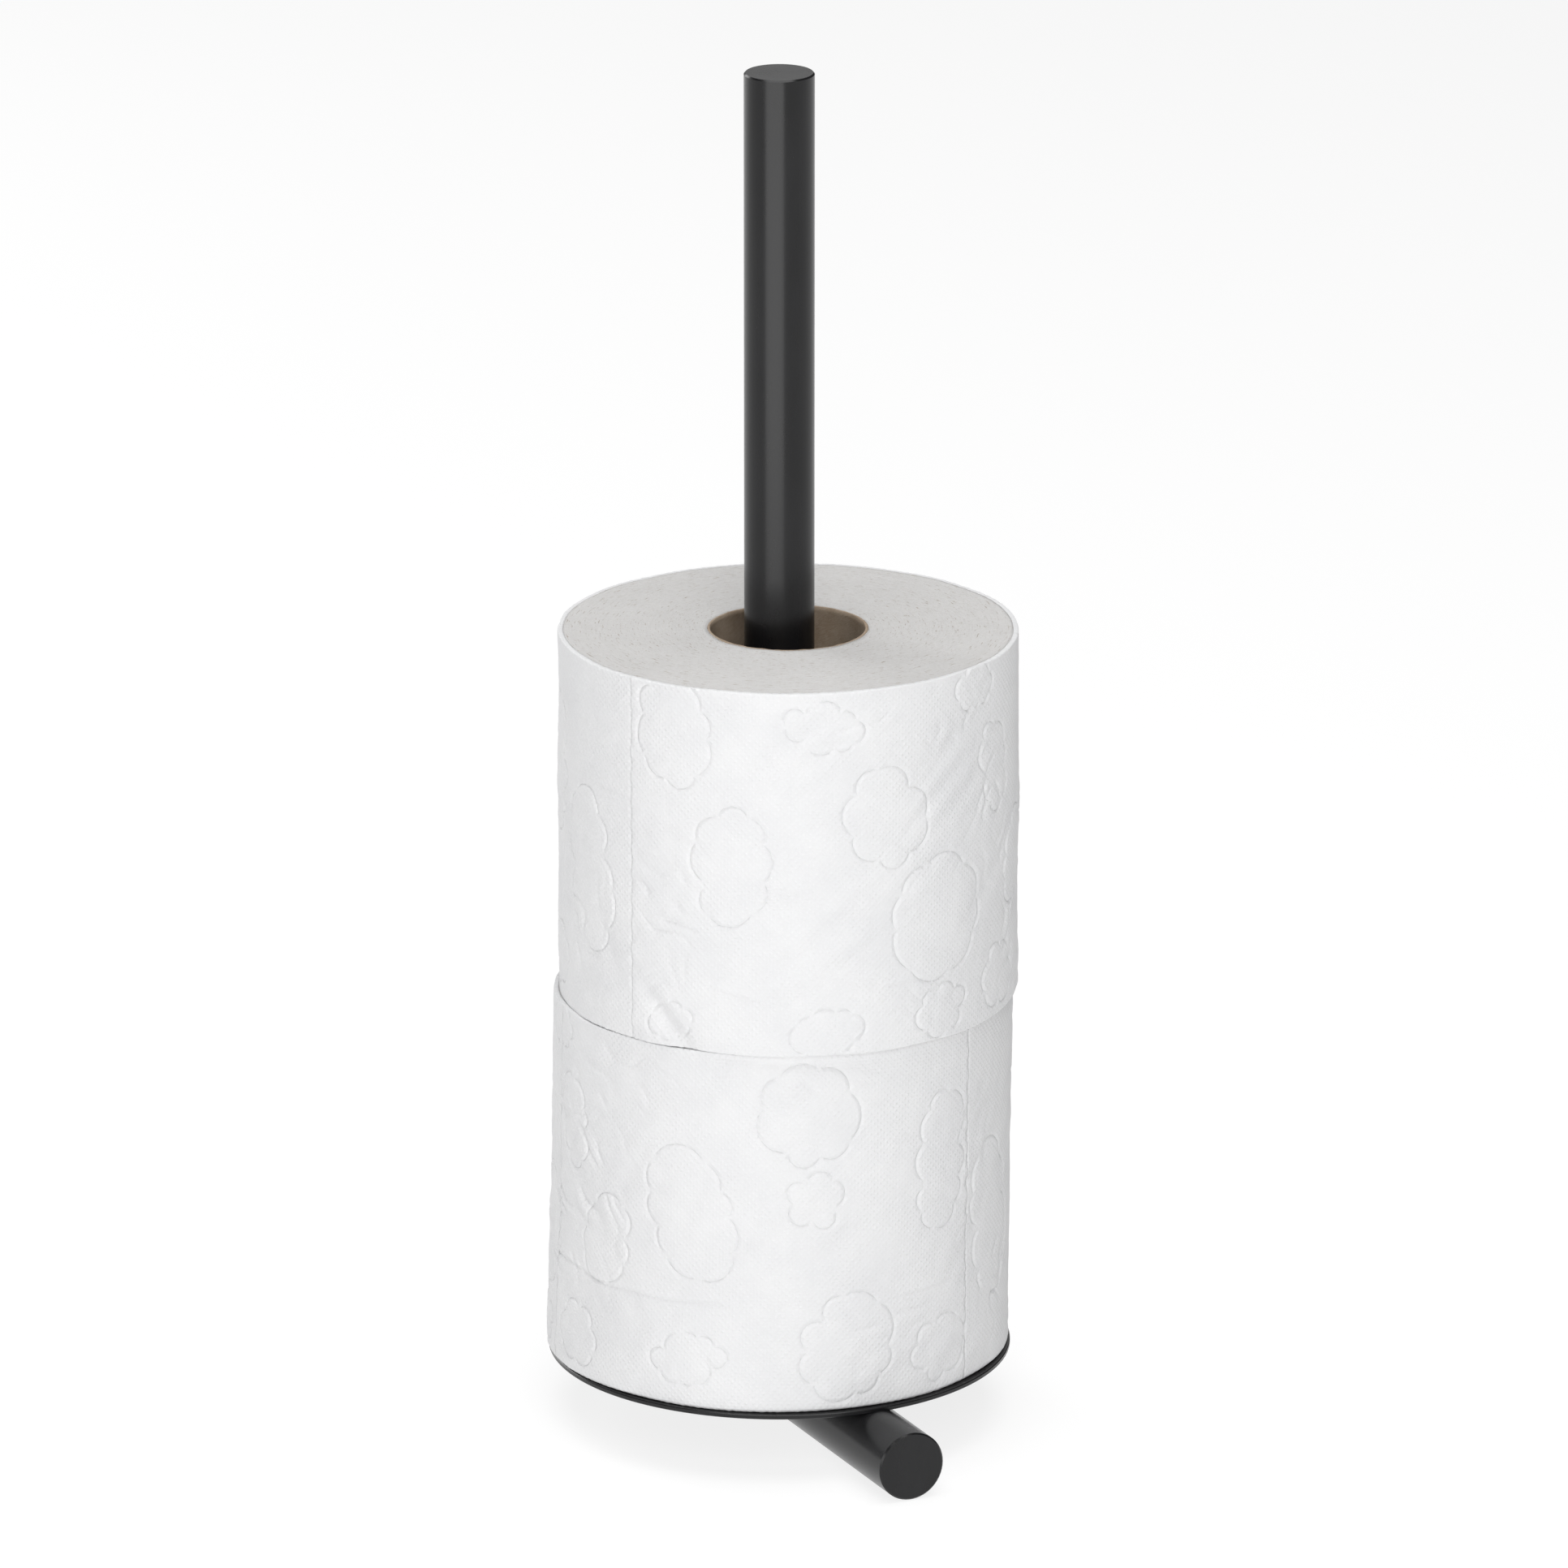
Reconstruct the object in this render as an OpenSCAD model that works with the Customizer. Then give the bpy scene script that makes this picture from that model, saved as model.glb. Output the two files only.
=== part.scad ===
// Wall-mounted holder for two spare paper rolls.
// A round arm stands out from the wall. It carries a thin round tray, and an upright
// post that passes through the cores of the rolls stacked on the tray.
// Origin: on the wall plane, on the arm's axis. +Y points into the wall, +Z is up.

/* [Bars] */
// Diameter of the arm and of the upright post
bar_d = 18; // [16:1:22]
// Distance from the wall to the post's axis
post_reach = 75; // [72:1:100]
// How far the arm runs on in front of the post's axis
arm_overrun = 79; // [62:1:100]
// Height of the post above the tray
post_h = 338.5; // [200:0.5:400]
// Wall thickness of the post's tube
tube_wall = 1.5; // [1.2:0.1:2]
// Bevel on the visible ends of both bars
end_bevel = 0.4; // [0.2:0.1:0.8]

/* [Tray] */
// Diameter of the round tray
tray_d = 120; // [100:1:140]
// Thickness of the tray's sheet
tray_t = 1.2; // [1:0.1:2]
// Bevel along the tray's edge
tray_bevel = 0.2; // [0.1:0.05:0.4]
// Depth of the seat milled in the arm for the tray
seat_depth = 0.5; // [0.3:0.1:0.8]

/* [Rolls] */
// Outer diameter of the upper roll
upper_roll_d = 117.8; // [100:0.2:120]
// Outer diameter of the lower roll
lower_roll_d = 119.4; // [100:0.2:120]
// Height of one roll
roll_h = 96.3; // [90:0.1:100]
// Outer diameter of a roll's cardboard core
core_d = 41.2; // [38:0.2:46]
// Wall thickness of the cardboard core
core_wall = 0.7; // [0.5:0.1:1]
// Bevel on the long edges of a roll's paper
paper_bevel = 1; // [0.5:0.1:2]

/* [Wall bracket] */
// Diameter of the bracket's flange
flange_d = 15; // [14:0.5:15]
// Thickness of the bracket's flange
flange_t = 3; // [2:0.5:4]
// Diameter of the spigot that the arm slides over
spigot_d = 12; // [11.5:0.1:12]
// Length of the bracket from the wall to the spigot's end
bracket_len = 25; // [20:1:30]
// Diameter of the hole for the wall screw
wall_screw_hole_d = 4.5; // [4:0.1:5]
// Thickness of metal that the wall screw clamps
wall_screw_floor = 6; // [5:0.5:8]
// Diameter of the pocket for the wall screw's head
wall_screw_head_d = 8.4; // [8:0.1:8.6]

/* [Fasteners] */
// Thread diameter of the clamp screw
clamp_d = 6; // [5:1:6]
// Length of the clamp screw under its head
clamp_len = 25; // [22:1:30]
// Thread diameter of the grub screw
grub_d = 4; // [3:1:4]

/* [Hidden] */
$fn = 96;

// Small distance by which a cutting body passes the face that it cuts
past = 1;
// Radial play of a screw or spigot in its hole
play = 0.05;
// Gap between the arm's rear end and the wall, so that the flange seats first
wall_gap = 0.2;

post_y = -post_reach;
arm_front_y = post_y - arm_overrun;
arm_rear_y = -wall_gap;
tray_bottom = bar_d / 2 - seat_depth;
tray_top = tray_bottom + tray_t;
tray_seat_play = 0.5;

tube_id = bar_d - 2 * tube_wall;
cap_depth = 8;
foot_h = 18;

// Clamp screw: head, socket and washer sizes for a socket-head cap screw
clamp_head_d = 10;
clamp_head_h = 6;
clamp_socket = 5;
clamp_socket_depth = 3;
washer_d = 9.9;
washer_t = 1.6;
washer_split = 1;
clamp_pocket_d = 10.8;
clamp_pocket_top = -0.7;
clamp_hole_d = clamp_d + 0.4;
clamp_head_top = clamp_pocket_top - washer_t;

// Grub screw: runs from under the arm into a dimple in the spigot
grub_y = -17;
grub_tip_z = -4.8;
grub_len = 3.9;
grub_socket = 2;
grub_socket_depth = 1.5;

spigot_bore_depth = bracket_len + 2;
flange_pocket_depth = flange_t + 0.3;

lower_roll_z = tray_top;
upper_roll_z = tray_top + roll_h;
// Where each roll's axis stands, off the post's axis
lower_roll_shift = [0.4, 0.9];
upper_roll_shift = [1.8, -1.3];

black = [0.13, 0.13, 0.135];
steel = [0.62, 0.63, 0.65];
paper_white = [0.95, 0.95, 0.95];
board_brown = [0.52, 0.43, 0.34];

// A round bar along +Z from the ground, with bevels at its lower and upper ends
module bevelled_bar(d, h, low_bevel, high_bevel) {
    r = d / 2;
    rotate_extrude()
        polygon([[0, 0], [r - low_bevel, 0], [r, low_bevel], [r, h - high_bevel],
            [r - high_bevel, h], [0, h]]);
}

// Lays a shape that stands on +Z along -Y, starting at the given Y
module along_arm(y) {
    translate([0, y, 0]) rotate([90, 0, 0]) children();
}

// A hexagonal key socket along +Z
module key_socket(across_flats, depth) {
    cylinder(d = across_flats / cos(30), h = depth, $fn = 6);
}

module arm() {
    color(black)
    difference() {
        along_arm(arm_rear_y)
            bevelled_bar(bar_d, arm_rear_y - arm_front_y, end_bevel, end_bevel);
        // Seat for the tray
        translate([0, post_y, tray_bottom])
            cylinder(d = tray_d + 2 * tray_seat_play, h = bar_d, $fn = 180);
        // Bore and pocket for the wall bracket
        along_arm(past) cylinder(d = spigot_d + 2 * play, h = spigot_bore_depth + past);
        along_arm(past) cylinder(d = flange_d + 2 * play, h = flange_pocket_depth + past);
        // Hole for the grub screw
        translate([0, grub_y, -bar_d]) cylinder(d = grub_d + 2 * play, h = bar_d);
        // Hole and pocket for the clamp screw
        translate([0, post_y, -bar_d]) cylinder(d = clamp_hole_d, h = 2 * bar_d);
        translate([0, post_y, -bar_d]) cylinder(d = clamp_pocket_d, h = bar_d + clamp_pocket_top);
    }
}

module tray() {
    color(black)
    translate([0, post_y, tray_bottom])
    difference() {
        bevelled_bar(tray_d, tray_t, tray_bevel, tray_bevel, $fn = 180);
        translate([0, 0, -past]) cylinder(d = clamp_hole_d, h = tray_t + 2 * past);
    }
}

module post_tube() {
    color(black)
    translate([0, post_y, tray_top])
    difference() {
        bevelled_bar(bar_d, post_h, 0, end_bevel);
        translate([0, 0, -past]) cylinder(d = tube_id, h = post_h + 2 * past);
    }
}

// Plug that closes the top of the tube flush with its end
module post_top_cap() {
    color(black)
    translate([0, post_y, tray_top + post_h - cap_depth])
        cylinder(d = tube_id, h = cap_depth);
}

// Threaded plug in the foot of the tube
module post_foot() {
    color(steel)
    translate([0, post_y, tray_top])
    difference() {
        bevelled_bar(tube_id, foot_h, 0, end_bevel);
        translate([0, 0, -past]) cylinder(d = clamp_d + 2 * play, h = foot_h + 2 * past);
    }
}

module clamp_screw() {
    color(steel)
    translate([0, post_y, clamp_head_top - clamp_head_h])
    difference() {
        union() {
            bevelled_bar(clamp_head_d, clamp_head_h, end_bevel, 0);
            translate([0, 0, clamp_head_h]) bevelled_bar(clamp_d, clamp_len, 0, end_bevel);
        }
        translate([0, 0, -past]) key_socket(clamp_socket, clamp_socket_depth + past);
    }
}

module spring_washer() {
    color(steel)
    translate([0, post_y, clamp_head_top])
    difference() {
        cylinder(d = washer_d, h = washer_t);
        translate([0, 0, -past]) cylinder(d = clamp_d + 2 * play, h = washer_t + 2 * past);
        translate([0, -washer_split / 2, -past])
            cube([washer_d, washer_split, washer_t + 2 * past]);
    }
}

module wall_bracket() {
    color(steel)
    difference() {
        union() {
            along_arm(0) cylinder(d = flange_d, h = flange_t);
            along_arm(0) bevelled_bar(spigot_d, bracket_len, 0, end_bevel);
        }
        along_arm(past) cylinder(d = wall_screw_hole_d, h = bracket_len + 2 * past);
        along_arm(-wall_screw_floor) cylinder(d = wall_screw_head_d, h = bracket_len);
        // Dimple that the grub screw bites into
        translate([0, grub_y, grub_tip_z - bar_d]) cylinder(d = grub_d + 2 * play, h = bar_d);
    }
}

module grub_screw() {
    color(steel)
    translate([0, grub_y, grub_tip_z - grub_len])
    difference() {
        bevelled_bar(grub_d, grub_len, 0, end_bevel);
        translate([0, 0, -past]) key_socket(grub_socket, grub_socket_depth + past);
    }
}

// Cardboard tube of one roll, standing at the given shift from the post and height
module roll_core(shift, z) {
    color(board_brown)
    translate([shift[0], post_y + shift[1], z])
    difference() {
        cylinder(d = core_d, h = roll_h);
        translate([0, 0, -past]) cylinder(d = core_d - 2 * core_wall, h = roll_h + 2 * past);
    }
}

// Wound paper of one roll
module roll_paper(shift, z, d) {
    color(paper_white)
    translate([shift[0], post_y + shift[1], z])
    difference() {
        bevelled_bar(d, roll_h, paper_bevel, paper_bevel, $fn = 144);
        translate([0, 0, -past]) cylinder(d = core_d, h = roll_h + 2 * past);
    }
}

module lower_roll_core() {
    roll_core(lower_roll_shift, lower_roll_z);
}

module lower_roll_paper() {
    roll_paper(lower_roll_shift, lower_roll_z, lower_roll_d);
}

module upper_roll_core() {
    roll_core(upper_roll_shift, upper_roll_z);
}

module upper_roll_paper() {
    roll_paper(upper_roll_shift, upper_roll_z, upper_roll_d);
}

arm();
tray();
post_tube();
post_top_cap();
post_foot();
clamp_screw();
spring_washer();
wall_bracket();
grub_screw();
lower_roll_core();
lower_roll_paper();
upper_roll_core();
upper_roll_paper();
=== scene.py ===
"""Looks of a wall-mounted holder with two spare paper rolls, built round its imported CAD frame.

The metal parts stay the CAD's own and get finished materials. Each roll becomes a wound body with
real end faces, the perforated sheets of its outer turn with their embossing and creases, and a
spiral-wound cardboard core. Lengths named in this file are millimetres unless a name ends in _M.
"""

import math

import bpy
import numpy as np
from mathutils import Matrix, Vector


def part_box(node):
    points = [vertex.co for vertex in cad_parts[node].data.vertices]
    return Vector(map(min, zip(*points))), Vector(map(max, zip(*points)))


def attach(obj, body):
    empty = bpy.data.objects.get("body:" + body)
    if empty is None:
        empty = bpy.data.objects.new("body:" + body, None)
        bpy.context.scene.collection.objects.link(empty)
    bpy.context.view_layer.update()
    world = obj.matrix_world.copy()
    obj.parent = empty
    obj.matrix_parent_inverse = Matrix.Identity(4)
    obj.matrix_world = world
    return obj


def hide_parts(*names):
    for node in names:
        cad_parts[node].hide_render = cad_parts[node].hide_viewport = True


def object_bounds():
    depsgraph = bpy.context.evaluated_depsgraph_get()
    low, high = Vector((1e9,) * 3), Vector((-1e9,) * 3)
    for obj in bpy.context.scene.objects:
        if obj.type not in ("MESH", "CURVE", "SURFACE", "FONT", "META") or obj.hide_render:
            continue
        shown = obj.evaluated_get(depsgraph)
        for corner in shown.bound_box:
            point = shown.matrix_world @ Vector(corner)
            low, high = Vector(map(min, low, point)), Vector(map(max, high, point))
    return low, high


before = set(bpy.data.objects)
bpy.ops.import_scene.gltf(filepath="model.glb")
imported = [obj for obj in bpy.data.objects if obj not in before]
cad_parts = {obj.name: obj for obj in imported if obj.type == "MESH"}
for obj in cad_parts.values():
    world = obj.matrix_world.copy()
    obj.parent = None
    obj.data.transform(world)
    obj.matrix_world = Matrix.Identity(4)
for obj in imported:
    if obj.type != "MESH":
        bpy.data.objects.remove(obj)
cad_low, cad_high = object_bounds()

MM = 0.001

# The camera looks at the holder from the front left, a little from above.
VIEW_AZIMUTH = math.radians(-25.34)
VIEW_PITCH = math.radians(17.39)
VIEW_DISTANCE_M = 3.2475
LENS = 290.5
SENSOR = 36.0
# Where the camera aims, from the post's foot: to its right and up
AIM_RIGHT_M = 0.0012
AIM_UP_M = 0.1516

TO_CAMERA = np.array([math.sin(VIEW_AZIMUTH), -math.cos(VIEW_AZIMUTH)])
TO_RIGHT = np.array([math.cos(VIEW_AZIMUTH), math.sin(VIEW_AZIMUTH)])


# ---------------------------------------------------------------- camera

def middle_of(node):
    """A CAD node's middle, in metres."""
    low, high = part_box(node)
    return np.array([(low[i] + high[i]) / 2 for i in range(3)])


def make_camera():
    """A long lens at the photographic viewing angle, aimed a little above the rolls' middle."""
    tray_low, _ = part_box("tray")
    post = middle_of("post_tube")
    aim = np.array([*(post[:2] + AIM_RIGHT_M * TO_RIGHT), tray_low[2] + AIM_UP_M])
    back = np.array([*(TO_CAMERA * math.cos(VIEW_PITCH)), math.sin(VIEW_PITCH)])
    data = bpy.data.cameras.new("camera")
    data.lens = LENS
    data.sensor_width = SENSOR
    data.clip_start = 0.1
    data.clip_end = 50.0
    camera = bpy.data.objects.new("camera", data)
    camera.location = aim + back * VIEW_DISTANCE_M
    camera.rotation_euler = (math.pi / 2 - VIEW_PITCH, 0.0, VIEW_AZIMUTH)
    bpy.context.collection.objects.link(camera)
    bpy.context.scene.camera = camera


# ---------------------------------------------------------------- mesh tools

def grid_quads(columns, rows, first=0, wrap=False, flip=False):
    """Quads over a grid whose vertices are numbered row by row; wrap joins the last column to the first."""
    spans = columns if wrap else columns - 1
    row, column = np.mgrid[0:rows - 1, 0:spans]
    after = (column + 1) % columns
    quads = np.stack([row * columns + column, row * columns + after,
                      (row + 1) * columns + after, (row + 1) * columns + column], -1)
    quads = quads.reshape(-1, 4) + first
    return quads[:, ::-1] if flip else quads


def new_mesh(name, points, quads, uv_maps, caps=(), slots=None, values=None):
    """A smooth mesh object from points in millimetres, quads, and larger flat caps.

    Each UV map holds a pair per point, each of the values a number per point, and slots a material
    number per quad.
    """
    sizes = np.array([4] * len(quads) + [len(cap) for cap in caps], np.int32)
    corners = np.concatenate([quads.ravel(), *caps]).astype(np.int32)
    mesh = bpy.data.meshes.new(name)
    mesh.vertices.add(len(points))
    mesh.vertices.foreach_set("co", (points * MM).astype(np.float32).ravel())
    mesh.loops.add(len(corners))
    mesh.loops.foreach_set("vertex_index", corners)
    mesh.polygons.add(len(sizes))
    mesh.polygons.foreach_set("loop_start", np.concatenate([[0], np.cumsum(sizes)[:-1]]))
    mesh.polygons.foreach_set("loop_total", sizes)
    mesh.polygons.foreach_set("use_smooth", np.ones(len(sizes), bool))
    if slots is not None:
        every = np.concatenate([slots, np.zeros(len(caps), int)])
        mesh.polygons.foreach_set("material_index", every.astype(np.int32))
    for map_name, uv in uv_maps.items():
        layer = mesh.uv_layers.new(name=map_name)
        layer.data.foreach_set("uv", uv[corners].astype(np.float32).ravel())
    for value_name, value in (values or {}).items():
        stored = mesh.attributes.new(value_name, "FLOAT", "POINT")
        stored.data.foreach_set("value", value.astype(np.float32))
    mesh.update(calc_edges=True)
    mesh.validate()
    piece = bpy.data.objects.new(name, mesh)
    bpy.context.collection.objects.link(piece)
    return piece


def smoothstep(low, high, x):
    """0 below low, 1 above high, and a smooth rise between them."""
    t = np.clip((x - low) / (high - low), 0.0, 1.0)
    return t * t * (3.0 - 2.0 * t)


def ripples(seed, x, y, wavelengths, count=9, slant=None):
    """A smooth random surface of about unit height: crossed waves of the given range of lengths."""
    rng = np.random.default_rng(seed)
    total = np.zeros(np.broadcast(x, y).shape)
    for _ in range(count):
        length = rng.uniform(*wavelengths)
        turn = rng.uniform(0, math.pi) if slant is None else rng.normal(slant, 0.18)
        phase = rng.uniform(0, 2 * math.pi)
        total += np.sin(2 * math.pi * (x * math.cos(turn) + y * math.sin(turn)) / length + phase)
    return total / math.sqrt(count / 2)


def round_ripples(seed, angle, waves, count=5):
    """A smooth random value of about unit height that closes on itself round a circle."""
    rng = np.random.default_rng(seed)
    total = np.zeros(np.shape(angle))
    for _ in range(count):
        total += np.sin(rng.integers(*waves) * angle + rng.uniform(0, 2 * math.pi))
    return total / math.sqrt(count / 2)


# ---------------------------------------------------------------- the rolls' shape

CORE_GAP = 0.02
# The outer turns are built as perforated sheets: their length, and how deep under the roll's surface
# their inner face lies
SHEET_LENGTH = 131.0
SHEET_DEPTH = 1.3
SHEET_GAP = 0.02
GRID = 0.39
# How much further out the loose end lies than the same turn where it began
TURN_STEP = 0.3
# Heights of a roll's unevenness: out of round, twisted, and swollen in patches of these lengths
OUT_OF_ROUND = 0.12
TWIST = 0.05
SWELLING, SWELLING_LENGTHS = 0.1, (28, 60)
# The swellings don't close at the back, where the loose end lies, so they fade out between these angles
BACK_FADE = (2.6, 3.1)
# The end faces: their least rounding, how far they stay inside the roll's height, their waves and fray
LEAST_ROUNDING = 0.05
END_GAP = 0.1
END_WAVES = 0.06
END_FRAY = 0.03


# In the tables below, a place is in millimetres round a roll's outer turn, from the side that faces the
# camera and positive to its right; a height is over the roll's foot.

# Dents per roll: place round the roll and height, half sizes along and across, slant, and depth
DENTS = {
    "lower_roll": [
        (-88, 42, 30, 22, 0.0, -0.45),
        (-52, 92, 16, 4, -0.2, -0.5),
        (-60, 50, 20, 3.0, -1.0, -0.35),
        (-46, 34, 18, 2.8, -1.0, -0.3),
        (6, 93, 16, 2.5, -0.1, -0.35),
        (58, 40, 14, 2.4, 0.8, -0.3),
        (40, 88, 12, 3, 0.5, -0.25),
        (120, 55, 26, 3.5, 0.7, -0.35),
        (150, 30, 20, 3, -0.6, -0.3),
    ],
    "upper_roll": [
        (-33, 7.0, 9.5, 2.5, -0.8, -1.5),
        (-40, 3.0, 5.0, 3.0, -0.4, 0.35),
        (-25, 1.0, 6, 2.6, -0.3, -0.5),
        (-52, 22, 14, 2.8, -1.1, -0.35),
        (62, 38, 16, 2.6, 0.7, -0.4),
        (48, 80, 14, 2.8, 0.5, -0.35),
        (140, 60, 26, 3.5, -0.7, -0.35),
        (170, 30, 16, 3, 0.5, -0.3),
    ],
}

# Patches of slanting folds: place and height, half width and height, slant, spacing, and depth
FOLDS = {
    "lower_roll": [
        (-62, 52, 17, 24, -1.0, 7.5, 0.17), (-48, 84, 15, 8, -0.25, 6.5, 0.13),
        (60, 58, 12, 22, 0.7, 8.5, 0.09), (2, 87, 24, 6, -0.12, 5.5, 0.08),
        (22, 24, 26, 7, 0.05, 7.0, 0.07), (72, 22, 12, 14, 0.9, 7.5, 0.1),
        (-84, 30, 15, 22, -0.5, 8.5, 0.14), (128, 50, 30, 22, 0.6, 8.5, 0.12),
        (-140, 40, 30, 24, -0.7, 8.0, 0.12),
    ],
    "upper_roll": [
        (-33, 36, 12, 16, -0.7, 7.0, 0.14), (62, 52, 12, 22, 0.65, 9.5, 0.12),
        (50, 82, 16, 9, 0.6, 7.5, 0.09), (14, 88, 16, 6, 0.15, 5.5, 0.07),
        (-66, 26, 13, 18, -0.9, 8.0, 0.12), (30, 14, 18, 7, 0.1, 6.5, 0.06),
        (76, 24, 10, 16, 0.8, 7.5, 0.13), (126, 60, 28, 22, 0.7, 8.5, 0.12),
        (-130, 50, 30, 24, -0.6, 8.0, 0.12),
    ],
}

# Rounding of the long edges: everywhere, then swells of it as (angle, half width, extra)
ROUNDING = {
    "lower_roll": {
        "top": [0.35, (1.2, 0.4, 0.5)],
        "foot": [0.8, (0.3, 0.8, 0.5), (1.2, 0.3, 0.4)],
    },
    "upper_roll": {
        "top": [0.25, (0.0, 0.8, 0.3), (-1.2, 0.3, 0.2)],
        "foot": [0.2, (0.6, 0.25, 0.7), (1.45, 0.35, 2.0), (-0.52, 0.08, 0.5)],
    },
}

# Creases that run round a roll: height, first and last place round it, depth and slope
CREASES = {
    "lower_roll": [(29, -78, -12, 0.22, -0.02), (28, 30, 60, 0.11, 0.05), (70, -100, -60, 0.1, 0.0),
                   (46, 100, 160, 0.15, 0.02)],
    "upper_roll": [(64, -60, -36, 0.11, 0.0), (17, -22, 0, 0.17, -0.15), (16.5, 22, 50, 0.12, 0.02),
                   (50, -45, -25, 0.09, -0.1), (33, 90, 150, 0.15, 0.0)],
}


class Roll:
    """One paper roll's sizes and places, in millimetres, read from its CAD nodes."""

    def __init__(self, name, seed, perforation, motif_start, radii, shifts):
        self.name = name
        self.seed = seed
        self.motif_start = motif_start
        low, high = (np.array(corner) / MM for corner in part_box(name + "_paper"))
        core_low, core_high = (np.array(corner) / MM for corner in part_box(name + "_core"))
        self.centre = (low[:2] + high[:2]) / 2
        self.z = low[2]
        self.height = high[2] - low[2]
        self.core_radius = (core_high[0] - core_low[0]) / 2
        self.low_radius, self.high_radius = radii
        self.low_shift, self.high_shift = shifts
        self.mean_radius = sum(radii) / 2
        self.turn = 2 * math.pi * self.mean_radius
        # The web's loose end is torn along the perforation before the visible one.
        self.tail = perforation - SHEET_LENGTH

    def spiral(self, place):
        """How far a place along the outer turn stands out, from the loose end to one turn before it."""
        from_end = (place - self.tail) / self.turn
        return TURN_STEP * (1 - from_end)

    def surface(self, angle, z):
        """The outer surface's radius at an angle from the camera side and a height over the roll's foot."""
        angle = (angle + math.pi) % (2 * math.pi) - math.pi
        share = z / self.height
        radius = self.low_radius + (self.high_radius - self.low_radius) * share
        wobble = OUT_OF_ROUND * round_ripples(self.seed, angle, (2, 6))
        wobble = wobble + TWIST * np.sin(4 * share + 3 * angle)
        swell = SWELLING * ripples(self.seed + 1, angle * self.mean_radius, z, SWELLING_LENGTHS)
        return radius + wobble + swell * (1 - smoothstep(*BACK_FADE, np.abs(angle))) + self.dents(angle, z)

    def least_surface(self, angle, z, angle_step, z_step):
        """The lowest the surface comes within one step of a point each way."""
        steps = (-1, -0.5, 0, 0.5, 1)
        return np.min([self.surface(angle + i * angle_step, z + k * z_step)
                       for i in steps for k in steps], axis=0)

    def dents(self, angle, z):
        """Knocks that reach through several turns."""
        depth = np.zeros(np.broadcast(angle, z).shape)
        for at, height, wide, tall, slant, size in DENTS[self.name]:
            x = (angle * self.mean_radius - at + self.turn / 2) % self.turn - self.turn / 2
            y = z - height
            along = x * math.cos(slant) + y * math.sin(slant)
            across = y * math.cos(slant) - x * math.sin(slant)
            depth += size * np.exp(-(along / wide) ** 2 - (across / tall) ** 2)
        return depth

    def rounding(self, angle, top):
        """How far the paper's long edge is rounded off, in millimetres."""
        kind = "top" if top else "foot"
        total = np.full(np.shape(angle), ROUNDING[self.name][kind][0])
        for at, wide, size in ROUNDING[self.name][kind][1:]:
            away = (angle - at + math.pi) % (2 * math.pi) - math.pi
            total = total + size * np.exp(-(away / wide) ** 2)
        return total

    def end_height(self, angle, inset, top):
        """Height over the roll's foot of an end face, where inset is the depth under the roll's surface."""
        soft = np.maximum(self.rounding(angle, top), LEAST_ROUNDING)
        reach = np.clip(soft - inset, 0.0, soft)
        lift = soft - np.sqrt(soft ** 2 - reach ** 2)
        lift = lift + END_GAP + END_WAVES * round_ripples(self.seed + 5 + top, angle, (3, 17))
        lift = lift + END_FRAY * round_ripples(self.seed + 7 + top, angle, (70, 230), 12)
        return self.height - lift if top else lift

    def place(self, angle, radius, z):
        """Points in the CAD's frame, in millimetres."""
        share = z / self.height
        right = self.low_shift[0] + (self.high_shift[0] - self.low_shift[0]) * share
        front = self.low_shift[1] + (self.high_shift[1] - self.low_shift[1]) * share
        # The shift fades out towards the core, which stands where its CAD node does.
        hold = np.clip((radius - self.core_radius) / (self.mean_radius - self.core_radius), 0, 1)
        right = right * hold + radius * np.sin(angle)
        front = front * hold + radius * np.cos(angle)
        x = self.centre[0] + right * TO_RIGHT[0] + front * TO_CAMERA[0]
        y = self.centre[1] + right * TO_RIGHT[1] + front * TO_CAMERA[1]
        return np.stack(np.broadcast_arrays(x, y, self.z + z), -1).reshape(-1, 3)


def rolls():
    """The two rolls. Shifts are to the right and to the front of the CAD's centre, at foot and top."""
    return [
        Roll("lower_roll", 11, -75.4, 175.0, (59.7, 58.75), ((-0.4, 0.0), (0.95, 0.0))),
        Roll("upper_roll", 23, -43.6, 44.0, (58.7, 58.7), ((0.2, 0.2), (0.2, 0.2))),
    ]


# ---------------------------------------------------------------- embossing

# One round of the embossing: place along the web, height, half width, half height, lobes, tilt
MOTIFS = [
    (-18, 41, 11, 22, 9, 0.1), (13, 84, 11, 15, 8, 0.2), (29, 50, 11, 16, 8, 0.0),
    (12, 7, 7, 5, 6, 0.4), (53, 87, 11, 6, 7, -0.2), (54, 6, 10, 6, 6, 0.2),
    (70, 62, 12, 14, 7, 0.4), (86, 33, 15, 17, 8, -0.2), (87, 8, 9, 7, 6, 0.3),
    (99, 91, 8, 6, 6, 0.0), (109, 68, 7, 13, 7, 0.2), (112, 11, 9, 9, 6, 0.0),
    (124, 40, 9, 13, 7, -0.3), (151, 52, 12, 19, 9, 0.35), (151, 13, 11, 7, 6, 0.1),
    (182, 80, 14, 14, 7, 0.0), (184, 57, 8, 8, 5, 0.2), (193, 17, 13, 15, 8, -0.3),
    (221, 63, 9, 19, 10, -0.1), (221, 12, 10, 9, 6, 0.2), (244, 30, 8, 10, 6, 0.0),
]
MOTIF_ROUND = 262.0
# Sizes of a motif's lobes and of its body, as shares of its half width, and how much the lobes differ
LOBE_SIZE, LOBE_RANGE = 0.46, (0.66, 1.3)
BODY_SIZE, BODY_REACH = 0.68, 0.6
# The pressed line's half width and depth, the lip beside it, and the swell of the paper inside it
STROKE = 0.42
STROKE_DEPTH = 0.34
LIP = 0.08
SWELL = 0.16
# The distance to an outline that counts as out of reach
FAR = 9.0


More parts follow.
